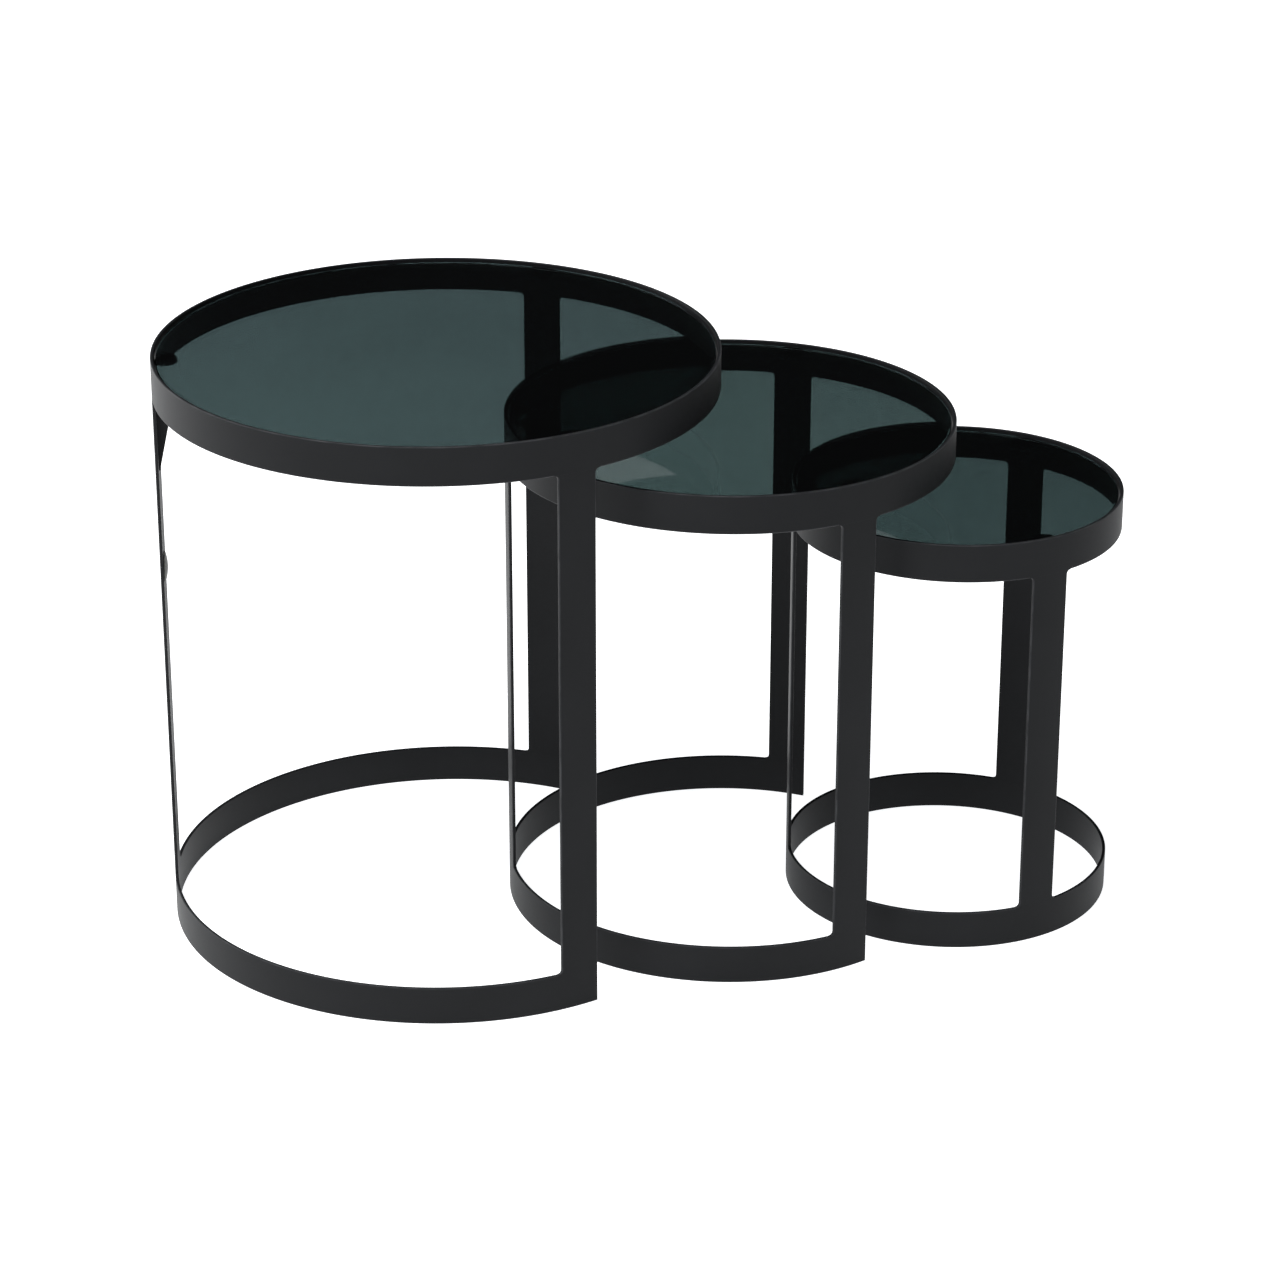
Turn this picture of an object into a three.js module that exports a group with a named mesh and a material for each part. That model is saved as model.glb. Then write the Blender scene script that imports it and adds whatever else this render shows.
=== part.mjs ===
// A nest of three round side tables. Each table is a welded frame of flat steel bar, with a loose
// glass top that lies on three padded brackets inside the top hoop. The base rings of the two
// larger tables are open towards +X, so the next table slides in between their front legs.
import * as THREE from 'three';

// Driving dimensions: millimetres, and degrees about +Z with 0 along +X.
const BAR_WIDTH = 35; // hoops and base rings, flat bar standing on its edge
const BAR_THICKNESS = 3;
const LEG_WIDTH = 36;
const JOINT_GAP = 0.3; // between pieces that touch or are welded
const GLASS_THICKNESS = 6;
const GLASS_RECESS = 3; // glass surface below the hoop's rim
const GLASS_SIDE_CLEARANCE = 1.5;
const GLASS_ARRIS = 0.8; // ground edge of the glass
const PAD_THICKNESS = 1.5;
const PAD_INSET = 0.8; // pad's outline inside its bracket's outline
const TAB_LENGTH = 20.5; // bracket, measured inwards from the hoop
const TAB_WIDTH = 23;
const TAB_CORNER = 11;
const PLATE_THICKNESS = 3; // brackets and the hoop stop
const STOP_TOP = 50; // hoop stop's upper edge, below the rim
const STOP_REACH = 11.5; // hoop stop, measured inwards from the leg
const STOP_STRAIGHT = 11; // height over which it keeps its full reach
const STOP_TAPER = 50;
const STOP_TOE = 0.6; // reach left at its lower tip
const BUMPER_RADIUS = 14;
const BUMPER_BASE = 0.5; // straight side of the bumper under its dome
const BUMPER_DOME = 2.4;
const BUMPER_HEIGHT_SHARE = 0.72; // bumper's height, as a share of the table that it meets
const FULL_TURN = 360;

// Segments in a whole circle, for the rings, the glass edges and the small round pieces.
const RING_SEGMENTS = 96;
const BUMPER_SEGMENTS = 32;
const CORNER_SEGMENTS = 5;
const DOME_SEGMENTS = 4;

const LARGE = {
  name: 'large', radius: 250, height: 538, x: 0, y: 0, yaw: 0,
  frontLegAngle: 64.5, rearLegAngle: 178.3, openBase: true,
};
const MEDIUM = {
  name: 'medium', radius: 201.5, height: 465, x: 260.4, y: 5.7, yaw: 2.1,
  frontLegAngle: 64.5, rearLegAngle: 180, openBase: true,
};
const SMALL = {
  name: 'small', radius: 149, height: 393, x: 466.9, y: 2.3, yaw: -5.2,
  frontLegAngle: 60, rearLegAngle: 180, openBase: false,
};

const steel = () => new THREE.MeshStandardMaterial({ color: 0x2e2f31, metalness: 0.6, roughness: 0.45 });
const rubber = () => new THREE.MeshStandardMaterial({ color: 0x0b0b0c, metalness: 0, roughness: 0.85 });
const smokedGlass = () => new THREE.MeshStandardMaterial({
  color: 0x3f5052, metalness: 0, roughness: 0.05, transparent: true, opacity: 0.6,
});

const radians = THREE.MathUtils.degToRad;
const angleAcross = (width, radius) => THREE.MathUtils.radToDeg(width / radius);

function named(name, geometry, material) {
  const mesh = new THREE.Mesh(geometry, material);
  mesh.name = name;
  return mesh;
}

// A closed hoop of flat bar on edge, its lower edge at z = 0.
function closedRing(radius) {
  const outline = new THREE.Shape();
  outline.absarc(0, 0, radius, 0, radians(FULL_TURN), false);
  const inside = new THREE.Path();
  inside.absarc(0, 0, radius - BAR_THICKNESS, 0, radians(FULL_TURN), true);
  outline.holes.push(inside);
  const settings = { depth: BAR_WIDTH, bevelEnabled: false, curveSegments: RING_SEGMENTS / 2 };
  return new THREE.ExtrudeGeometry(outline, settings);
}

// Flat bar rolled to the hoop's radius between two angles, its lower edge at z = 0.
function curvedBar(radius, fromAngle, toAngle, height) {
  const from = radians(fromAngle);
  const to = radians(toAngle);
  const outline = new THREE.Shape();
  outline.absarc(0, 0, radius, from, to, false);
  outline.absarc(0, 0, radius - BAR_THICKNESS, to, from, true);
  outline.closePath();
  const turnShare = (toAngle - fromAngle) / FULL_TURN;
  const curveSegments = Math.max(2, Math.ceil(RING_SEGMENTS * turnShare / 2));
  return new THREE.ExtrudeGeometry(outline, { depth: height, bevelEnabled: false, curveSegments });
}

function topHoop(table) {
  const hoop = named(`${table.name}_top_hoop`, closedRing(table.radius), steel());
  hoop.position.z = table.height - BAR_WIDTH;
  return hoop;
}

// The base ring is a full circle, or an arc that ends flush with the front legs' outer edges.
function baseRing(table) {
  const endAngle = table.frontLegAngle - angleAcross(LEG_WIDTH, table.radius) / 2;
  const geometry = table.openBase
    ? curvedBar(table.radius, endAngle, FULL_TURN - endAngle, BAR_WIDTH)
    : closedRing(table.radius);
  return named(`${table.name}_base_ring`, geometry, steel());
}

function leg(table, place) {
  const halfAngle = angleAcross(LEG_WIDTH, table.radius) / 2;
  const height = table.height - 2 * (BAR_WIDTH + JOINT_GAP);
  const geometry = curvedBar(table.radius, place.angle - halfAngle, place.angle + halfAngle, height);
  const mesh = named(`${table.name}_leg_${place.name}`, geometry, steel());
  mesh.position.z = BAR_WIDTH + JOINT_GAP;
  return mesh;
}

function glassTop(table) {
  const radius = table.radius - BAR_THICKNESS - GLASS_SIDE_CLEARANCE;
  const profile = [
    [0, 0], [radius - GLASS_ARRIS, 0], [radius, GLASS_ARRIS],
    [radius, GLASS_THICKNESS - GLASS_ARRIS], [radius - GLASS_ARRIS, GLASS_THICKNESS],
    [0, GLASS_THICKNESS],
  ].map(([across, up]) => new THREE.Vector2(across, up));
  const geometry = new THREE.LatheGeometry(profile, RING_SEGMENTS).rotateX(Math.PI / 2);
  const mesh = named(`${table.name}_glass_top`, geometry, smokedGlass());
  mesh.position.z = table.height - GLASS_RECESS - GLASS_THICKNESS;
  return mesh;
}

// Outline of a bracket's tab in plan, on a leg at angle 0: its back follows the hoop's inner face
// and its free end has round corners. The pad has the same outline, drawn smaller by the inset.
function tabOutline(table, inset) {
  const back = table.radius - BAR_THICKNESS - JOINT_GAP - inset;
  const end = table.radius - BAR_THICKNESS - TAB_LENGTH + inset;
  const half = TAB_WIDTH / 2 - inset;
  const corner = TAB_CORNER - inset;
  const backAngle = Math.asin(half / back);
  const outline = new THREE.Shape();
  outline.moveTo(back * Math.cos(backAngle), -half);
  outline.lineTo(end + corner, -half);
  outline.absarc(end + corner, -half + corner, corner, -Math.PI / 2, -Math.PI, true);
  outline.absarc(end + corner, half - corner, corner, Math.PI, Math.PI / 2, true);
  outline.lineTo(back * Math.cos(backAngle), half);
  outline.absarc(0, 0, back, backAngle, -backAngle, true);
  return outline;
}

const padHeight = (table) => table.height - GLASS_RECESS - GLASS_THICKNESS - JOINT_GAP - PAD_THICKNESS;

// Flat steel tab, welded to the hoop's inner face, that carries a pad.
function bracket(table, place) {
  const settings = { depth: PLATE_THICKNESS, bevelEnabled: false, curveSegments: CORNER_SEGMENTS };
  const geometry = new THREE.ExtrudeGeometry(tabOutline(table, 0), settings);
  const mesh = named(`${table.name}_bracket_${place.name}`, geometry, steel());
  mesh.rotation.z = radians(place.angle);
  mesh.position.z = padHeight(table) - JOINT_GAP - PLATE_THICKNESS;
  return mesh;
}

function pad(table, place) {
  const settings = { depth: PAD_THICKNESS, bevelEnabled: false, curveSegments: CORNER_SEGMENTS };
  const geometry = new THREE.ExtrudeGeometry(tabOutline(table, PAD_INSET), settings);
  const mesh = named(`${table.name}_pad_${place.name}`, geometry, rubber());
  mesh.rotation.z = radians(place.angle);
  mesh.position.z = padHeight(table);
  return mesh;
}

// Distance from the table's axis to the back of a piece that lies on a leg's inner face and
// reaches this far to each side of the leg's middle.
function backOnLeg(table, halfWidth) {
  return Math.sqrt((table.radius - BAR_THICKNESS) ** 2 - halfWidth ** 2) - JOINT_GAP;
}

// Tapered steel plate, set edge-on against the rear leg's inner face at the height of the next
// table's hoop.
function hoopStop(table) {
  const back = backOnLeg(table, PLATE_THICKNESS / 2);
  const top = table.height - STOP_TOP;
  const knee = top - STOP_STRAIGHT;
  const toe = knee - STOP_TAPER;
  const side = new THREE.Shape([
    [back, top], [back - STOP_REACH, top], [back - STOP_REACH, knee], [back - STOP_TOE, toe], [back, toe],
  ].map(([across, up]) => new THREE.Vector2(across, up)));
  const geometry = new THREE.ExtrudeGeometry(side, { depth: PLATE_THICKNESS, bevelEnabled: false });
  geometry.rotateX(Math.PI / 2);
  geometry.translate(0, PLATE_THICKNESS / 2, 0);
  const mesh = named(`${table.name}_hoop_stop`, geometry, steel());
  mesh.rotation.z = radians(table.rearLegAngle);
  return mesh;
}

// Round rubber bumper with a domed face, on the rear leg's inner face, where the next table's rear
// leg comes to rest.
function bumper(table, nextTable) {
  const domeRadius = (BUMPER_RADIUS ** 2 + BUMPER_DOME ** 2) / (2 * BUMPER_DOME);
  const profile = [new THREE.Vector2(0, 0), new THREE.Vector2(BUMPER_RADIUS, 0)];
  for (let step = 0; step <= DOME_SEGMENTS; step += 1) {
    const across = BUMPER_RADIUS * (1 - step / DOME_SEGMENTS);
    const drop = domeRadius - Math.sqrt(domeRadius ** 2 - across ** 2);
    profile.push(new THREE.Vector2(across, BUMPER_BASE + BUMPER_DOME - drop));
  }
  const geometry = new THREE.LatheGeometry(profile, BUMPER_SEGMENTS).rotateZ(Math.PI / 2);
  geometry.translate(backOnLeg(table, BUMPER_RADIUS), 0, 0);
  const mesh = named(`${table.name}_bumper`, geometry, rubber());
  mesh.rotation.z = radians(table.rearLegAngle);
  mesh.position.z = nextTable.height * BUMPER_HEIGHT_SHARE;
  return mesh;
}

// One table with its open side towards +X. The left leg is on the +Y side. Only the large table
// has a stop and a bumper.
function buildTable(table) {
  const places = [
    { name: 'rear', angle: table.rearLegAngle },
    { name: 'left', angle: table.frontLegAngle },
    { name: 'right', angle: -table.frontLegAngle },
  ];
  const group = new THREE.Group();
  group.add(topHoop(table), baseRing(table), glassTop(table));
  for (const place of places) {
    group.add(leg(table, place), bracket(table, place), pad(table, place));
  }
  if (table === LARGE) group.add(hoopStop(table), bumper(table, MEDIUM));
  group.position.set(table.x, table.y, 0);
  group.rotation.z = radians(table.yaw);
  return group;
}

// The origin is on the floor, under the middle of the three tables' joint length.
const nest = new THREE.Group();
nest.add(buildTable(LARGE), buildTable(MEDIUM), buildTable(SMALL));
nest.position.x = (LARGE.radius - SMALL.x - SMALL.radius) / 2;

export default nest;
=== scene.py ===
"""Looks for the nest of three round side tables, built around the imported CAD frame.

Each steel bar, bracket, pad, bumper and glass top gets its own detailed mesh at its CAD node's place.
"""
import math
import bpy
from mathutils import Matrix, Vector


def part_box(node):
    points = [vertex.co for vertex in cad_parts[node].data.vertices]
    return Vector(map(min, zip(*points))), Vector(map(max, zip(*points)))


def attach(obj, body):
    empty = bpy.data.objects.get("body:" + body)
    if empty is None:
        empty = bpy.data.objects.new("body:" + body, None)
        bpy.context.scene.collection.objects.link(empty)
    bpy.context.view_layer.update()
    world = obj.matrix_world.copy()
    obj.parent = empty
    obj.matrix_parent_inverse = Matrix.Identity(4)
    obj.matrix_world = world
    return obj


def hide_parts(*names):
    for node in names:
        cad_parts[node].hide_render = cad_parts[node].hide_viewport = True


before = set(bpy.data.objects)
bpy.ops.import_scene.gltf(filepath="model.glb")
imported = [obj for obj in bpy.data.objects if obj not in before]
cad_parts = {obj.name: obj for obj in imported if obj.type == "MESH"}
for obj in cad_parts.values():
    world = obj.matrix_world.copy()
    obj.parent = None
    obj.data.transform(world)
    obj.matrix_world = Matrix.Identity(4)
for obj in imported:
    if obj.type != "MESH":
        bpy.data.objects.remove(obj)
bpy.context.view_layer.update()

from types import SimpleNamespace

import bmesh
import bpy
from mathutils import Matrix, Vector

MM = 0.001

# Detail sizes, in metres.
EDGE = 0.8 * MM  # rounding of the flat bar's edges
SHARP = 0.05 * MM  # rounding left where two welded bars run flush into each other
SUPPORT = 0.3 * MM  # width of the strip beside a rounding that keeps the flat face flat in shading
FILLET = 4.0 * MM  # weld fillet between a leg and a hoop or base ring
BLEND = 0.8 * MM  # run over which a bar's edge goes from rounded to flush
PLATE_EDGE = 0.35 * MM  # rounding on the edges of the brackets and the hoop stop
TAB_CORNER = 11.0 * MM
PAD_EDGE = 0.4 * MM
STOP_CORNER = 2.0 * MM  # rounding of the hoop stop's upper corner
STOP_BLEND = 6.0 * MM  # half the height of the curve at its knee
STOP_TOE = (0.3 * MM, 0.5 * MM)  # depth and height of the small step at its lower tip
BUMPER_BASE = 0.5 * MM  # straight side under the bumper's dome
BUMPER_FOOT = 0.2 * MM  # rounding at its foot
GLASS_ARRIS = 0.8 * MM
TOLERANCE = 0.1 * MM  # a vertex this close to a face counts as on it

# The weld bead under a bracket.
WELD_RADIUS = 1.3 * MM
WELD_MARGIN = 1.0 * MM  # left free at each end of the bracket's back
WELD_SINK = 0.1 * MM  # centre line of the bead into the wall and below the bracket
WELD_DEPTH = 0.4 * MM  # deepest that the bead may reach into the wall or the bracket
WELD_END = 0.04  # square of the bead's share of its radius at its ends
WELD_TAPER_POWER = 8
WELD_RIPPLE = 0.10
WELD_RIPPLE_STEPS = 3.5  # stations from one ripple to the next
WELD_STATIONS = 28
WELD_SIDES = 10

# Fineness of the meshes.
CORNER_STEPS = 4
FILLET_STEPS = 8
FACE_STEPS = 6
TAB_STEPS = 8
STOP_STEPS = 6
DOME_STEPS = 10
ARRIS_STEPS = 3
RING_STEP = math.radians(1.5)
BUMPER_SEGMENTS = 64
GLASS_SEGMENTS = 288
GLASS_RINGS = (0.05, 0.5, 0.98)  # rings of vertices on a glass face, as shares of its radius

FULL_TURN = 2 * math.pi
SMOOTH_LIMIT = math.radians(32)
OPEN_LIMIT = math.radians(170)  # a base ring that stops before this turn from the rear is open

TABLES = ("large", "medium", "small")
PLACES = ("rear", "left", "right")

# Share of light that each glass top lets through, in its darker and its lighter clouds. The three tops are
# one glass: the medium and small tops get darker copies of its tint as painted shade.
GLASS_TINTS_WITH_PAINTED_SHADE = {
    "large": ((0.036, 0.057, 0.058), (0.039, 0.062, 0.063)),
    "medium": ((0.032, 0.053, 0.052), (0.036, 0.059, 0.058)),
    "small": ((0.025, 0.042, 0.042), (0.028, 0.046, 0.046)),
}


# ---------------------------------------------------------------- mesh helpers

def make_object(name, vertices, faces, edge_marks=None):
    """A mesh object with smooth shading up to SMOOTH_LIMIT and an optional edge mark on each vertex."""
    mesh = bpy.data.meshes.new(name)
    mesh.from_pydata(vertices, [], faces)
    if edge_marks is not None:
        layer = mesh.attributes.new("edge_mark", "FLOAT", "POINT")
        layer.data.foreach_set("value", edge_marks)
    mesh.shade_smooth()
    mesh.set_sharp_from_angle(angle=SMOOTH_LIMIT)
    mesh.update()
    piece = bpy.data.objects.new(name, mesh)
    bpy.context.scene.collection.objects.link(piece)
    return piece


def loft(name, loops, marks=None, closed=False):
    """Skins a row of equal closed loops, with a flat cap at each end unless the row closes on itself."""
    size = len(loops[0])
    vertices = [point for loop in loops for point in loop]
    rows = len(loops) if closed else len(loops) - 1
    faces = []
    for row in range(rows):
        here = row * size
        there = (row + 1) % len(loops) * size
        for i in range(size):
            j = (i + 1) % size
            faces.append((here + i, here + j, there + j, there + i))
    if not closed:
        faces.append(tuple(reversed(range(size))))
        last = (len(loops) - 1) * size
        faces.append(tuple(range(last, last + size)))
    return make_object(name, vertices, faces, marks)


def corner_run(steps=CORNER_STEPS):
    """(cosine, sine) pairs from 0 to 90 degrees."""
    quarter = math.pi / 2
    return [(math.cos(quarter * k / steps), math.sin(quarter * k / steps)) for k in range(steps + 1)]


def rounded_box_loop(low, high, roundings):
    """A rectangle from low to high, anticlockwise from its lower right corner, each corner rounded.

    roundings holds the radius of the lower right, upper right, upper left and lower left corners.
    Returns the points and a mark on each: 0 on a flat, and up to 1 on a wide rounding.
    """
    corners = (
        (high[0], low[1], 1, -1),
        (high[0], high[1], 1, 1),
        (low[0], high[1], -1, 1),
        (low[0], low[1], -1, -1),
    )
    points = []
    marks = []
    for (x, y, side_x, side_y), radius in zip(corners, roundings):
        centre = (x - side_x * radius, y - side_y * radius)
        run = corner_run()
        if side_x * side_y < 0:
            run = [(sine, cosine) for cosine, sine in run]
        arc = [(centre[0] + side_x * radius * c, centre[1] + side_y * radius * s) for c, s in run]
        if side_x * side_y < 0:
            before = (arc[0][0] - side_x * SUPPORT, arc[0][1])
            after = (arc[-1][0], arc[-1][1] - side_y * SUPPORT)
        else:
            before = (arc[0][0], arc[0][1] - side_y * SUPPORT)
            after = (arc[-1][0] - side_x * SUPPORT, arc[-1][1])
        # the mark lightens the paint on a rounding: partly rubbed paint, partly a painted highlight
        wear_and_highlight = min(1.0, radius / EDGE)
        points += [before, *arc, after]
        marks += [0.0, *[wear_and_highlight] * len(arc), 0.0]
    return points, marks


# ---------------------------------------------------------------- what the frame says

def node_points(node):
    """The vertices of a CAD node."""
    return [vertex.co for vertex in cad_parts[node].data.vertices]


def polar(point, centre):
    """Distance and angle of a point from a vertical axis."""
    offset = point.xy - centre
    return offset.length, math.atan2(offset.y, offset.x)


def turn_between(angle, other):
    """Signed angle from other to angle, from -180 to 180 degrees."""
    return (angle - other + math.pi) % FULL_TURN - math.pi


def read_leg(name, centre):
    """A leg's angle and half its width as an angle."""
    points = node_points(name)
    middle = sum(points, Vector()) / len(points)
    angle = polar(middle, centre)[1]
    half = max(abs(turn_between(polar(point, centre)[1], angle)) for point in points)
    return SimpleNamespace(name=name, angle=angle, half=half)


def read_table(name):
    """The table's centre, radii, heights and legs, measured on its CAD nodes."""
    hoop_low, hoop_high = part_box(f"{name}_top_hoop")
    centre = ((hoop_low + hoop_high) / 2).xy
    radii = [polar(point, centre)[0] for point in node_points(f"{name}_top_hoop")]
    base_low, base_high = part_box(f"{name}_base_ring")
    table = SimpleNamespace(name=name, centre=centre, outer=max(radii), inner=min(radii))
    table.hoop_z = (hoop_low.z, hoop_high.z)
    table.base_z = (base_low.z, base_high.z)
    table.legs = {place: read_leg(f"{name}_leg_{place}", centre) for place in PLACES}
    angles = [polar(point, centre)[1] for point in node_points(f"{name}_base_ring")]
    turns = [turn_between(angle, math.pi) for angle in angles]
    table.base_arc = (math.pi + min(turns), math.pi + max(turns))
    table.open_base = max(turns) < OPEN_LIMIT
    return table


def on_table(table, angle, radius, height):
    """A point of the table, given by its angle and radius about the table's axis and its height."""
    across = Vector((math.cos(angle), math.sin(angle))) * radius
    return Vector((table.centre.x + across.x, table.centre.y + across.y, height))


def in_leg_frame(node, table, angle):
    """A node's vertices in a leg's own frame: x outwards, y along the hoop, z up."""
    turn = Matrix.Rotation(-angle, 3, "Z")
    centre = table.centre.to_3d()
    return [turn @ (point - centre) for point in node_points(node)]


def local_box(node, table, angle):
    """Lowest and highest corner of a node in a leg's own frame."""
    points = in_leg_frame(node, table, angle)
    low = Vector([min(point[axis] for point in points) for axis in range(3)])
    high = Vector([max(point[axis] for point in points) for axis in range(3)])
    return low, high


def from_leg(table, angle, point):
    """A point of a leg's own frame, in the row frame."""
    return Matrix.Rotation(angle, 3, "Z") @ Vector(point) + table.centre.to_3d()


def settle(piece, node, body, material):
    """The piece stands for its CAD node, rides on its body and takes its material."""
    piece.data.materials.append(material)
    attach(piece, body)
    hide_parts(node)
    return piece


# ---------------------------------------------------------------- steel frame

def ring_angles(table, start, stop):
    """Stations along a hoop or base ring: an even step, and a few close ones at each leg's fillets."""
    count = max(2, round((stop - start) / RING_STEP))
    even = [start + (stop - start) * k / count for k in range(count + 1)]
    special = []
    for leg in table.legs.values():
        tip = leg.half + FILLET / table.outer
        for side in (-1, 1):
            for run in (0, BLEND):
                angle = leg.angle + side * (tip - run / table.outer)
                special.append(start + (angle - start) % FULL_TURN)
    special = [angle for angle in special if start < angle < stop]
    clearance = SUPPORT / table.outer
    kept = [a for a in even if all(abs(a - b) > clearance for b in special)]
    return sorted(kept + special)


def leg_rounding(table, angle):
    """Rounding of the bar edge that the legs run into: almost none at a leg, full beside it."""
    rounding = EDGE
    for leg in table.legs.values():
        away = abs(turn_between(angle, leg.angle)) - leg.half
        share = (away * table.outer - (FILLET - BLEND)) / BLEND
        rounding = min(rounding, SHARP + (EDGE - SHARP) * min(1, max(0, share)))
    return rounding


def outer_marks(table, radii, marks):
    """The edge marks of the outer side only: the inner edges get neither the rubbed paint nor the painted
    highlight.
    """
    middle = (table.inner + table.outer) / 2
    return [mark if radius > middle else 0.0 for radius, mark in zip(radii, marks)]


def ring_section(table, angle, heights, legs_above, inset=0.0):
    """The bar's section at an angle, with the edge that the legs run into rounded to suit."""
    joined = leg_rounding(table, angle)
    low_edge, high_edge = (EDGE, joined) if legs_above else (joined, EDGE)
    low = (table.inner + inset, heights[0] + inset)
    high = (table.outer - inset, heights[1])
    points, marks = rounded_box_loop(low, high, (low_edge, high_edge, high_edge, low_edge))
    marks = outer_marks(table, [radius for radius, _ in points], marks)
    return [on_table(table, angle, radius, height) for radius, height in points], marks


def closed_ring(table, name, heights, legs_above):
    """A hoop or base ring that goes all the way round."""
    sections = [
        ring_section(table, angle, heights, legs_above)
        for angle in ring_angles(table, 0.0, FULL_TURN)[:-1]
    ]
    marks = [mark for section in sections for mark in section[1]]
    return loft(name, [section[0] for section in sections], marks, closed=True)


def open_ring(table, name, heights):
    """A base ring that stops flush with the outer edges of the front legs."""
    start, stop = table.base_arc
    sections = []
    for cosine, sine in corner_run():
        angle = start + EDGE * (1 - cosine) / table.outer
        sections.append(ring_section(table, angle, heights, True, EDGE * (1 - sine)))
    margin = 2 * EDGE / table.outer
    for angle in ring_angles(table, start, stop):
        if start + margin < angle < stop - margin:
            sections.append(ring_section(table, angle, heights, True))
    for cosine, sine in reversed(corner_run()):
        angle = stop - EDGE * (1 - cosine) / table.outer
        sections.append(ring_section(table, angle, heights, True, EDGE * (1 - sine)))
    marks = [mark for section in sections for mark in section[1]]
    return loft(name, [section[0] for section in sections], marks)


def leg_levels(table, leg):
    """Heights up a leg with its half widths on the low-angle and high-angle side, fillets included."""
    bottom = table.base_z[1]
    top = table.hoop_z[0]
    half = leg.half * table.outer
    opening_side = 0
    if table.open_base and leg is not table.legs["rear"]:
        opening_side = math.copysign(1, turn_between(0.0, leg.angle))
    levels = []
    for cosine, sine in reversed(corner_run(FILLET_STEPS)):
        flare = FILLET * (1 - cosine)
        low_side = half + (0 if opening_side < 0 else flare)
        high_side = half + (0 if opening_side > 0 else flare)
        levels.append((bottom + FILLET * (1 - sine), low_side, high_side))
    for cosine, sine in corner_run(FILLET_STEPS):
        flare = FILLET * (1 - cosine)
        levels.append((top - FILLET * (1 - sine), half + flare, half + flare))
    return levels


def leg_section(table, leg, low_side, high_side):
    """Angles and radii around a leg's section, anticlockwise from its lower right corner."""
    points, marks = rounded_box_loop((-low_side, table.inner), (high_side, table.outer), (EDGE,) * 4)
    size = len(points) // 4
    loop = []
    loop_marks = []
    for corner in range(4):
        run = points[corner * size:(corner + 1) * size]
        loop += run
        loop_marks += marks[corner * size:(corner + 1) * size]
        if corner in (1, 3):
            start = run[-1]
            stop = points[(corner + 1) * size % len(points)]
            for k in range(1, FACE_STEPS):
                share = k / FACE_STEPS
                loop.append((start[0] + (stop[0] - start[0]) * share, start[1]))
                loop_marks.append(0.0)
    loop_marks = outer_marks(table, [radius for _, radius in loop], loop_marks)
    return [(leg.angle + across / table.outer, radius) for across, radius in loop], loop_marks


def leg_piece(table, leg):
    """A leg rolled to the hoop's radius, with a fillet at each end."""
    loops = []
    marks = []
    for height, low_side, high_side in leg_levels(table, leg):
        section, section_marks = leg_section(table, leg, low_side, high_side)
        loops.append([on_table(table, angle, radius, height) for angle, radius in section])
        marks += section_marks
    return loft(f"{leg.name}_bar", loops, marks)


def steel_frame(table, material):
    """The welded hoop, base ring and legs."""
    body = f"{table.name}_table"
    hoop = closed_ring(table, f"{table.name}_hoop_bar", table.hoop_z, False)
    settle(hoop, f"{table.name}_top_hoop", body, material)
    if table.open_base:
        base = open_ring(table, f"{table.name}_base_bar", table.base_z)
    else:
        base = closed_ring(table, f"{table.name}_base_bar", table.base_z, True)
    settle(base, f"{table.name}_base_ring", body, material)
    for leg in table.legs.values():
        settle(leg_piece(table, leg), leg.name, body, material)


# ---------------------------------------------------------------- brackets, pads and bumpers

def tab_outline(low, high, inset, back):
    """The tab's outline in its leg's frame, drawn smaller by the inset.

    Its two round corners run in the wrong order, so that it crosses itself.
    """
    half = (high.y - low.y) / 2 - inset
    end = low.x + inset
    corner = TAB_CORNER - inset
    run = corner_run(TAB_STEPS)
    points = [(end + corner * (1 - s), -half + corner * (1 - c)) for c, s in run]
    back_angle = math.asin(half / back)
    for k in range(TAB_STEPS + 1):
        angle = -back_angle + 2 * back_angle * k / TAB_STEPS
        points.append((back * math.cos(angle), back * math.sin(angle)))
    points += [(end + corner * (1 - s), half - corner * (1 - c)) for c, s in reversed(run)]
    return points


def tab_piece(table, node, place, edge, back_at, shape_name):
    """A plate with the tab's outline and rounded edges, its back on the given radius."""
    angle = table.legs[place].angle
    low, high = local_box(node, table, angle)
    flat = SUPPORT + edge
    levels = [(low.z, flat, 0.0)]
    levels += [(low.z + edge * (1 - c), edge * (1 - s), 1.0) for c, s in corner_run()]
    levels += [(high.z - edge * (1 - c), edge * (1 - s), 1.0) for c, s in reversed(corner_run())]
    levels.append((high.z, flat, 0.0))
    loops = []
    marks = []
    for height, inset, mark in levels:
        outline = tab_outline(low, high, inset, back_at(inset))
        loops.append([from_leg(table, angle, (x, y, height)) for x, y in outline])
        marks += [mark] * len(outline)
    return loft(shape_name, loops, marks)


def bracket_piece(table, place, material):
    """A flat tab whose back meets the hoop's wall."""
    node = f"{table.name}_bracket_{place}"
    wall = table.inner
    piece = tab_piece(table, node, place, PLATE_EDGE, lambda inset: wall, f"{node}_tab")
    add_weld(table, piece, node, place)
    settle(piece, node, f"{table.name}_table", material)


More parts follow.
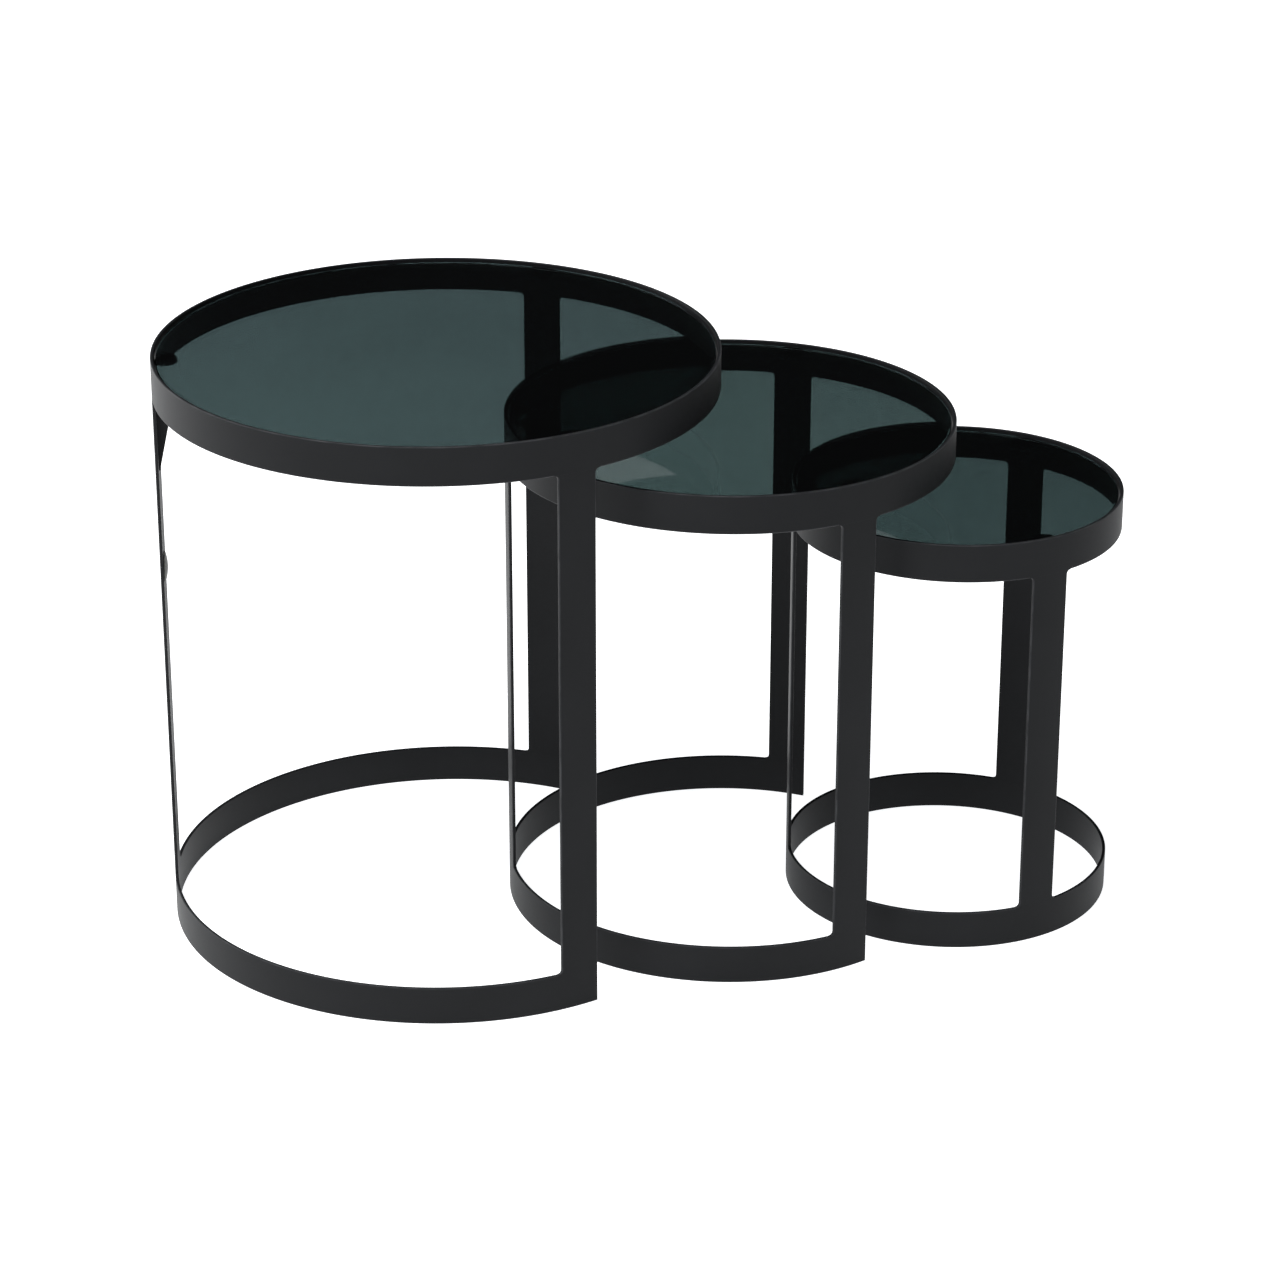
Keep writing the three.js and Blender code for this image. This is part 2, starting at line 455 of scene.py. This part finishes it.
def add_weld(table, piece, node, place):
    """Adds the weld bead that joins the tab's underside to the hoop's wall."""
    angle = table.legs[place].angle
    low, high = local_box(node, table, angle)
    half = (high.y - low.y) / 2 - WELD_MARGIN
    loops = []
    for k in range(WELD_STATIONS + 1):
        along = -half + 2 * half * k / WELD_STATIONS
        taper = math.sqrt(max(WELD_END, 1 - (along / half) ** WELD_TAPER_POWER))
        ripple = 1 + WELD_RIPPLE * math.sin(k * FULL_TURN / WELD_RIPPLE_STEPS)
        radius = WELD_RADIUS * taper * ripple
        wall = math.sqrt(table.inner ** 2 - along ** 2)
        loop = []
        for i in range(WELD_SIDES):
            turn = FULL_TURN * i / WELD_SIDES
            across = min(wall + WELD_SINK + radius * math.cos(turn), wall + WELD_DEPTH)
            height = min(low.z - WELD_SINK + radius * math.sin(turn), low.z + WELD_DEPTH)
            loop.append(from_leg(table, angle, (across, along, height)))
        loops.append(loop)
    bead = loft(f"{node}_weld", loops, [1.0] * (len(loops) * WELD_SIDES))
    join_into(piece, bead)


def join_into(piece, extra):
    """Moves one mesh's shape into another's and deletes its object."""
    shape = bmesh.new()
    shape.from_mesh(piece.data)
    shape.from_mesh(extra.data)
    shape.to_mesh(piece.data)
    shape.free()
    mesh = extra.data
    bpy.data.objects.remove(extra)
    bpy.data.meshes.remove(mesh)


def pad_piece(table, place, material):
    """The pad between a tab and the glass, with the tab's outline drawn smaller."""
    node = f"{table.name}_pad_{place}"
    back = max(point.xy.length for point in in_leg_frame(node, table, table.legs[place].angle))
    piece = tab_piece(table, node, place, PAD_EDGE, lambda inset: back - inset, f"{node}_rubber")
    settle(piece, node, f"{table.name}_table", material)


def stop_piece(table, material):
    """The tapered plate on the rear leg, with rounded edges, set against the leg's face."""
    node = f"{table.name}_hoop_stop"
    angle = table.legs["rear"].angle
    points = in_leg_frame(node, table, angle)
    low, high = local_box(node, table, angle)
    knee = min(point.z for point in points if point.x < low.x + TOLERANCE)
    tip = min(point.x for point in points if point.z < low.z + TOLERANCE)
    roundings = (SHARP, SHARP, PLATE_EDGE, PLATE_EDGE)
    loops = []
    marks = []
    for height, edge in stop_levels((high.z, knee, low.z), (low.x, tip)):
        section, section_marks = rounded_box_loop((edge, low.y), (table.inner, high.y), roundings)
        loops.append([from_leg(table, angle, (x, y, height)) for x, y in section])
        marks += section_marks
    piece = loft(f"{node}_plate", loops, marks)
    settle(piece, node, f"{table.name}_table", material)


def stop_levels(heights, reaches):
    """Heights up the stop with its free edge at each: rounded corners at the top and the knee."""
    top, knee, toe = heights
    reach, tip = reaches
    toe_depth, toe_height = STOP_TOE
    rows = [(toe, tip), (toe + toe_height, tip - toe_depth)]
    slope = (reach - tip) / (knee - toe)
    for k in range(1, STOP_STEPS):
        height = toe + (knee - STOP_BLEND - toe) * k / STOP_STEPS
        rows.append((height, tip + slope * (height - toe)))
    start = tip + slope * (knee - STOP_BLEND - toe)
    for k in range(STOP_STEPS + 1):
        share = k / STOP_STEPS
        height = knee - STOP_BLEND + 2 * STOP_BLEND * share
        edge = start * (1 - share) ** 2 + 2 * reach * share * (1 - share) + reach * share ** 2
        rows.append((height, edge))
    rows += [(top - STOP_CORNER * (1 - s), reach + STOP_CORNER * (1 - c)) for c, s in corner_run()]
    return rows


def lathe(name, profile, segments, place_point):
    """Turns a profile of (radius, height) about an axis; place_point puts a turned point in the row."""
    loops = []
    for radius, height in profile:
        loop = []
        for k in range(segments):
            angle = FULL_TURN * k / segments
            loop.append(place_point(radius * math.cos(angle), radius * math.sin(angle), height))
        loops.append(loop)
    return loft(name, loops)


def bumper_piece(table, material):
    """A round stick-on bumper with a domed face and a small rounded foot."""
    node = f"{table.name}_bumper"
    angle = table.legs["rear"].angle
    low, high = local_box(node, table, angle)
    middle = (low + high) / 2
    radius = (high.z - low.z) / 2
    thickness = high.x - low.x
    dome = thickness - BUMPER_BASE
    ball = (radius ** 2 + dome ** 2) / (2 * dome)
    foot = BUMPER_FOOT
    profile = [(radius - foot, 0.0), (radius, foot), (radius, BUMPER_BASE - foot)]
    for k in range(DOME_STEPS):
        reach = (radius - foot) * (1 - k / DOME_STEPS)
        profile.append((reach, thickness - ball + math.sqrt(ball ** 2 - reach ** 2)))
    piece = lathe(
        f"{node}_rubber", profile, BUMPER_SEGMENTS,
        lambda x, y, z: from_leg(table, angle, (high.x - z, middle.y - x, middle.z + y)),
    )
    settle(piece, node, f"{table.name}_table", material)


# ---------------------------------------------------------------- glass

def glass_piece(table, material):
    """A disc with a ground arris round both faces."""
    node = f"{table.name}_glass_top"
    low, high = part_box(node)
    thickness = high.z - low.z
    radius = max(polar(point, table.centre)[0] for point in node_points(node))
    arris = [
        (radius - GLASS_ARRIS * (1 - s), GLASS_ARRIS * (1 - c)) for c, s in corner_run(ARRIS_STEPS)
    ]
    profile = [(radius * share, 0.0) for share in GLASS_RINGS]
    profile += [(radius - GLASS_ARRIS, 0.0)]
    profile += arris
    profile += [(across, thickness - up) for across, up in reversed(arris)]
    profile += [(radius * share, thickness) for share in reversed(GLASS_RINGS)]
    piece = lathe(
        f"{table.name}_glass_disc", profile, GLASS_SEGMENTS,
        lambda x, y, z: Vector((table.centre.x + x, table.centre.y + y, low.z + z)),
    )
    settle(piece, node, f"{table.name}_glass", material)


# ---------------------------------------------------------------- materials

# Colour sockets of a Mix node, which share their names with its other sockets.
FIRST_COLOUR = 6
SECOND_COLOUR = 7
MIXED_COLOUR = 2
SPECK_HEIGHT = 0.35  # height of the powder coat's specks, as a share of its orange peel


def new_material(name):
    """A node material with its node list, link list and main shader."""
    material = bpy.data.materials.new(name)
    material.use_nodes = True
    nodes = material.node_tree.nodes
    shader = nodes["Principled BSDF"]
    return material, nodes, material.node_tree.links, shader


def noise(nodes, links, coordinates, scale, detail=2.0, roughness=0.5):
    """Noise over the object's own coordinates, in metres, mostly between 0.35 and 0.65."""
    node = nodes.new("ShaderNodeTexNoise")
    node.inputs["Scale"].default_value = scale
    node.inputs["Detail"].default_value = detail
    node.inputs["Roughness"].default_value = roughness
    links.new(coordinates.outputs["Object"], node.inputs["Vector"])
    return node.outputs["Fac"]


def ramp(nodes, links, source, low, high, from_low=0.35, from_high=0.65):
    """The source's span from from_low to from_high, stretched to low and high."""
    node = nodes.new("ShaderNodeMapRange")
    node.inputs["From Min"].default_value = from_low
    node.inputs["From Max"].default_value = from_high
    node.inputs["To Min"].default_value = low
    node.inputs["To Max"].default_value = high
    links.new(source, node.inputs["Value"])
    return node.outputs["Result"]


def mix_colours(nodes, links, factor, first, second):
    """Blends two colours, each an (r, g, b) tuple or an output socket."""
    node = nodes.new("ShaderNodeMix")
    node.data_type = "RGBA"
    links.new(factor, node.inputs["Factor"])
    for index, value in ((FIRST_COLOUR, first), (SECOND_COLOUR, second)):
        if isinstance(value, tuple):
            node.inputs[index].default_value = (*value, 1.0)
        else:
            links.new(value, node.inputs[index])
    return node.outputs[MIXED_COLOUR]


def add_or_scale(nodes, links, operation, first, second):
    """ADD or MULTIPLY of two output sockets."""
    node = nodes.new("ShaderNodeMath")
    node.operation = operation
    links.new(first, node.inputs[0])
    links.new(second, node.inputs[1])
    return node.outputs[0]


def bump(nodes, links, shader, height, strength, distance):
    """Roughens the shader's surface by a height, with the distance in metres."""
    node = nodes.new("ShaderNodeBump")
    node.inputs["Strength"].default_value = strength
    node.inputs["Distance"].default_value = distance
    links.new(height, node.inputs["Height"])
    links.new(node.outputs["Normal"], shader.inputs["Normal"])


def powder_coat():
    """Satin black powder coat: fine orange peel, cloudy gloss and lighter outer edges, partly rubbed paint
    and partly a painted highlight.
    """
    material, nodes, links, shader = new_material("black_powder_coat")
    coordinates = nodes.new("ShaderNodeTexCoord")
    peel = noise(nodes, links, coordinates, scale=520.0)
    cloud = noise(nodes, links, coordinates, scale=9.0, detail=4.0)
    speck = noise(nodes, links, coordinates, scale=2600.0, detail=1.0)
    scuff = noise(nodes, links, coordinates, scale=60.0, detail=3.0)

    tint = mix_colours(nodes, links, ramp(nodes, links, cloud, 0.0, 1.0),
                       (0.0109, 0.0115, 0.0126), (0.0140, 0.0147, 0.0161))
    edge = nodes.new("ShaderNodeAttribute")
    edge.attribute_name = "edge_mark"
    rub_and_highlight = add_or_scale(nodes, links, "MULTIPLY", edge.outputs["Fac"], ramp(nodes, links, scuff, 0.25, 0.75))
    # lighter colour on the marked edges: partly rubbed paint, partly a painted highlight along the
    # roundings
    links.new(mix_colours(nodes, links, rub_and_highlight, tint, (0.052, 0.054, 0.058)), shader.inputs["Base Color"])

    broad_gloss = ramp(nodes, links, cloud, 0.46, 0.51)
    fine_gloss = ramp(nodes, links, speck, -0.02, 0.03)
    links.new(add_or_scale(nodes, links, "ADD", broad_gloss, fine_gloss), shader.inputs["Roughness"])

    height = nodes.new("ShaderNodeMath")
    height.operation = "MULTIPLY_ADD"
    height.inputs[1].default_value = SPECK_HEIGHT
    links.new(speck, height.inputs[0])
    links.new(peel, height.inputs[2])
    bump(nodes, links, shader, height.outputs[0], strength=0.35, distance=0.04 * MM)
    shader.inputs["Metallic"].default_value = 0.0
    shader.inputs["Specular IOR Level"].default_value = 0.092
    return material


def smoked_glass_with_painted_shade(name, low_tint, high_tint):
    """Grey-green float glass with a polished face and faint smears, in a copy for each table: the darker
    tints of the medium and small tops are painted shade.
    """
    material, nodes, links, shader = new_material(f"{name}_smoked_glass")
    coordinates = nodes.new("ShaderNodeTexCoord")
    cloud = noise(nodes, links, coordinates, scale=5.0, detail=3.0)
    smear = noise(nodes, links, coordinates, scale=22.0, detail=5.0, roughness=0.62)
    tint = mix_colours(nodes, links, ramp(nodes, links, cloud, 0.0, 1.0), low_tint, high_tint)
    links.new(tint, shader.inputs["Base Color"])
    gloss = ramp(nodes, links, smear, 0.0, 0.035, from_low=0.5, from_high=0.75)
    links.new(gloss, shader.inputs["Roughness"])
    shader.inputs["Transmission Weight"].default_value = 1.0
    shader.inputs["IOR"].default_value = 1.52
    return material


def rubber():
    """Matte black rubber with a fine moulded grain."""
    material, nodes, links, shader = new_material("black_rubber")
    coordinates = nodes.new("ShaderNodeTexCoord")
    grain = noise(nodes, links, coordinates, scale=1400.0)
    cloud = noise(nodes, links, coordinates, scale=120.0, detail=3.0)
    tint = mix_colours(nodes, links, ramp(nodes, links, cloud, 0.0, 1.0),
                       (0.004, 0.004, 0.004), (0.009, 0.009, 0.009))
    links.new(tint, shader.inputs["Base Color"])
    links.new(ramp(nodes, links, grain, 0.62, 0.82), shader.inputs["Roughness"])
    bump(nodes, links, shader, grain, strength=0.4, distance=0.05 * MM)
    return material


def bumper_rubber():
    """Dark olive polyurethane of a stick-on bumper: smooth, slightly cloudy and a little glossy."""
    material, nodes, links, shader = new_material("bumper_polyurethane")
    coordinates = nodes.new("ShaderNodeTexCoord")
    cloud = noise(nodes, links, coordinates, scale=90.0, detail=3.0)
    speck = noise(nodes, links, coordinates, scale=900.0)
    tint = mix_colours(nodes, links, ramp(nodes, links, cloud, 0.0, 1.0),
                       (0.016, 0.018, 0.011), (0.024, 0.026, 0.017))
    links.new(tint, shader.inputs["Base Color"])
    links.new(ramp(nodes, links, speck, 0.42, 0.56), shader.inputs["Roughness"])
    shader.inputs["IOR"].default_value = 1.45
    return material


# ---------------------------------------------------------------- stage

FLOOR_SIZE = 200.0
FLOOR_GLOW = (0.97, 0.985, 1.0, 1.0)
CAMERA_PLACE = (-0.2975, -3.3685, 1.7194)
CAMERA_TILT = math.radians(23.48)
CAMERA_TURN = math.radians(-4.99)
CAMERA_ROLL = math.radians(0.07)
CAMERA_LENS = 114.08  # mm, on a 36 mm wide sensor
BACKDROP = 1.15  # strength of the world where it is looked at directly
DIM_STUDIO = 0.015  # strength of the world as the pieces see it


def add_camera():
    """A long lens in front of the row, looking down on it and a little to the right."""
    data = bpy.data.cameras.new("camera")
    data.lens = CAMERA_LENS
    data.sensor_width = 36.0
    data.clip_end = 100.0
    camera = bpy.data.objects.new("camera", data)
    bpy.context.scene.collection.objects.link(camera)
    turn = Matrix.Rotation(CAMERA_TURN, 4, "Z")
    tilt = Matrix.Rotation(math.pi / 2 - CAMERA_TILT, 4, "X")
    roll = Matrix.Rotation(CAMERA_ROLL, 4, "Z")
    camera.matrix_world = Matrix.Translation(CAMERA_PLACE) @ turn @ tilt @ roll
    bpy.context.scene.camera = camera


def add_floor():
    """A white studio floor that reaches to the horizon and glows softly, so that it stays white."""
    half = FLOOR_SIZE / 2
    corners = [(-half, -half, 0), (half, -half, 0), (half, half, 0), (-half, half, 0)]
    floor = make_object("floor", corners, [(0, 1, 2, 3)])
    material, _, _, shader = new_material("floor_white")
    shader.inputs["Base Color"].default_value = (0.80, 0.80, 0.80, 1.0)
    shader.inputs["Roughness"].default_value = 0.9
    shader.inputs["Specular IOR Level"].default_value = 0.1
    shader.inputs["Emission Color"].default_value = FLOOR_GLOW
    shader.inputs["Emission Strength"].default_value = 1.02
    floor.data.materials.append(material)


def add_area_light(name, place, target, size, radiance):
    """A softbox, in metres, that the camera doesn't see."""
    data = bpy.data.lights.new(name, "AREA")
    data.shape = "RECTANGLE"
    data.size = size[0]
    data.size_y = size[1]
    data.energy = radiance * math.pi * size[0] * size[1]
    light = bpy.data.objects.new(name, data)
    bpy.context.scene.collection.objects.link(light)
    light.location = place
    aim = Vector(target) - Vector(place)
    light.rotation_euler = aim.to_track_quat("-Z", "Y").to_euler()
    light.visible_camera = False


def add_light():
    """A white backdrop that the pieces hardly reflect, a softbox overhead and one at the left."""
    world = bpy.data.worlds.new("studio")
    world.use_nodes = True
    nodes = world.node_tree.nodes
    links = world.node_tree.links
    background = nodes["Background"]
    background.inputs["Color"].default_value = (0.9, 0.95, 1.0, 1.0)
    path = nodes.new("ShaderNodeLightPath")
    depth = path.outputs["Ray Depth"]  # 1 where the backdrop is looked at directly
    strength = ramp(nodes, links, depth, BACKDROP, DIM_STUDIO, from_low=1.0, from_high=2.0)
    links.new(strength, background.inputs["Strength"])
    bpy.context.scene.world = world
    add_area_light("overhead", place=(-1.5, -0.9, 3.5), target=(-1.1, -0.6, 0),
                   size=(2.4, 2.8), radiance=8.5)
    add_area_light("left_softbox", place=(-2.4, 1.5, 1.1), target=(-0.5, 0, 0.3),
                   size=(2.2, 2.0), radiance=2.9)
    bpy.context.scene.view_settings.view_transform = "Standard"


def build():
    """Makes every piece of the three tables."""
    coat = powder_coat()
    soft = rubber()
    for name in TABLES:
        table = read_table(name)
        steel_frame(table, coat)
        glass_piece(table, smoked_glass_with_painted_shade(name, *GLASS_TINTS_WITH_PAINTED_SHADE[name]))
        for place in PLACES:
            bracket_piece(table, place, coat)
            pad_piece(table, place, soft)
        if f"{name}_bumper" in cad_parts:
            bumper_piece(table, bumper_rubber())
        if f"{name}_hoop_stop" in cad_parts:
            stop_piece(table, coat)


add_camera()
add_floor()
add_light()
build()

bpy.context.view_layer.update()
